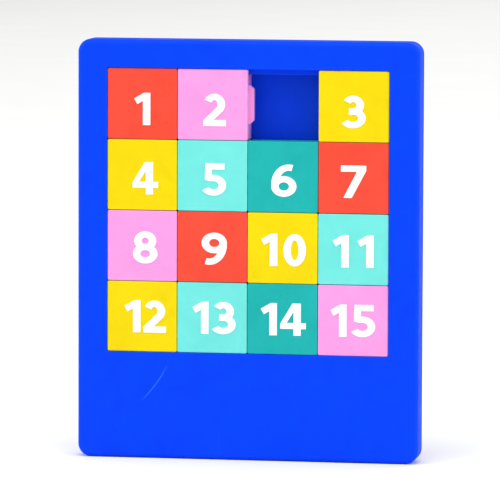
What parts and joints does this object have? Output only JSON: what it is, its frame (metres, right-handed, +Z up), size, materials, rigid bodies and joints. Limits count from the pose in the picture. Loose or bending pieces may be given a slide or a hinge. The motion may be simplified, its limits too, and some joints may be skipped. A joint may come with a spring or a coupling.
{
  "type": "sliding tile puzzle",
  "caption": "Sliding tile puzzle: numbered square tiles with tongue-and-groove sides slide in a frame with one empty cell and a deep chin.",
  "frame": {"origin": "middle of the flat bottom edge that the puzzle stands on", "axes": "+X to the right across the width, +Y from the tile faces towards the back cover, +Z up the height of the frame"},
  "size_m": [0.08, 0.008, 0.0975],
  "materials": {
    "frame_blue": "satin moulded polystyrene, blue",
    "tile_red": "satin moulded polystyrene, red",
    "tile_pink": "satin moulded polystyrene, pink",
    "tile_yellow": "satin moulded polystyrene, yellow",
    "tile_aqua": "satin moulded polystyrene, aqua",
    "tile_teal": "satin moulded polystyrene, teal",
    "print_white": "pad-printed white ink"
  },
  "bodies": {
    "frame": {"front_frame": "frame_blue", "back_cover": "frame_blue"},
    "slider_01": {"tile_01": "tile_red", "numeral_01": "print_white"},
    "slider_02": {"tile_02": "tile_pink", "numeral_02": "print_white"},
    "slider_03": {"tile_03": "tile_yellow", "numeral_03": "print_white"},
    "slider_04": {"tile_04": "tile_yellow", "numeral_04": "print_white"},
    "slider_05": {"tile_05": "tile_aqua", "numeral_05": "print_white"},
    "slider_06": {"tile_06": "tile_teal", "numeral_06": "print_white"},
    "slider_07": {"tile_07": "tile_red", "numeral_07": "print_white"},
    "slider_08": {"tile_08": "tile_pink", "numeral_08": "print_white"},
    "slider_09": {"tile_09": "tile_red", "numeral_09": "print_white"},
    "slider_10": {"tile_10": "tile_yellow", "numeral_10": "print_white"},
    "slider_11": {"tile_11": "tile_aqua", "numeral_11": "print_white"},
    "slider_12": {"tile_12": "tile_yellow", "numeral_12": "print_white"},
    "slider_13": {"tile_13": "tile_aqua", "numeral_13": "print_white"},
    "slider_14": {"tile_14": "tile_teal", "numeral_14": "print_white"},
    "slider_15": {"tile_15": "tile_pink", "numeral_15": "print_white"}
  },
  "joints": [
    {"name": "row_1_push", "type": "slide", "parent": "frame", "child": "slider_01", "axis": [1, 0, 0], "range_m": [0, 0.0165]},
    {"name": "row_1_tile_02", "type": "slide", "parent": "frame", "child": "slider_02", "axis": [1, 0, 0], "range_m": [0, 0.0165]},
    {"name": "column_3_push", "type": "slide", "parent": "frame", "child": "slider_14", "axis": [0, 0, -1], "range_m": [-0.0165, 0]},
    {"name": "column_3_tile_10", "type": "slide", "parent": "frame", "child": "slider_10", "axis": [0, 0, -1], "range_m": [-0.0165, 0]},
    {"name": "column_3_tile_06", "type": "slide", "parent": "frame", "child": "slider_06", "axis": [0, 0, -1], "range_m": [-0.0165, 0]},
    {"name": "tile_03_play", "type": "slide", "parent": "frame", "child": "slider_03", "axis": [1, 0, 0], "range_m": [-0.00005, 0.00005]},
    {"name": "tile_04_play", "type": "slide", "parent": "frame", "child": "slider_04", "axis": [1, 0, 0], "range_m": [-0.00005, 0.00005]},
    {"name": "tile_05_play", "type": "slide", "parent": "frame", "child": "slider_05", "axis": [1, 0, 0], "range_m": [-0.00005, 0.00005]},
    {"name": "tile_07_play", "type": "slide", "parent": "frame", "child": "slider_07", "axis": [1, 0, 0], "range_m": [-0.00005, 0.00005]},
    {"name": "tile_08_play", "type": "slide", "parent": "frame", "child": "slider_08", "axis": [1, 0, 0], "range_m": [-0.00005, 0.00005]},
    {"name": "tile_09_play", "type": "slide", "parent": "frame", "child": "slider_09", "axis": [1, 0, 0], "range_m": [-0.00005, 0.00005]},
    {"name": "tile_11_play", "type": "slide", "parent": "frame", "child": "slider_11", "axis": [1, 0, 0], "range_m": [-0.00005, 0.00005]},
    {"name": "tile_12_play", "type": "slide", "parent": "frame", "child": "slider_12", "axis": [1, 0, 0], "range_m": [-0.00005, 0.00005]},
    {"name": "tile_13_play", "type": "slide", "parent": "frame", "child": "slider_13", "axis": [1, 0, 0], "range_m": [-0.00005, 0.00005]},
    {"name": "tile_15_play", "type": "slide", "parent": "frame", "child": "slider_15", "axis": [1, 0, 0], "range_m": [-0.00005, 0.00005]}
  ],
  "couplings": [
    {"joint": "row_1_tile_02", "follows": "row_1_push", "ratio": 1},
    {"joint": "column_3_tile_10", "follows": "column_3_push", "ratio": 1},
    {"joint": "column_3_tile_06", "follows": "column_3_push", "ratio": 1}
  ]
}
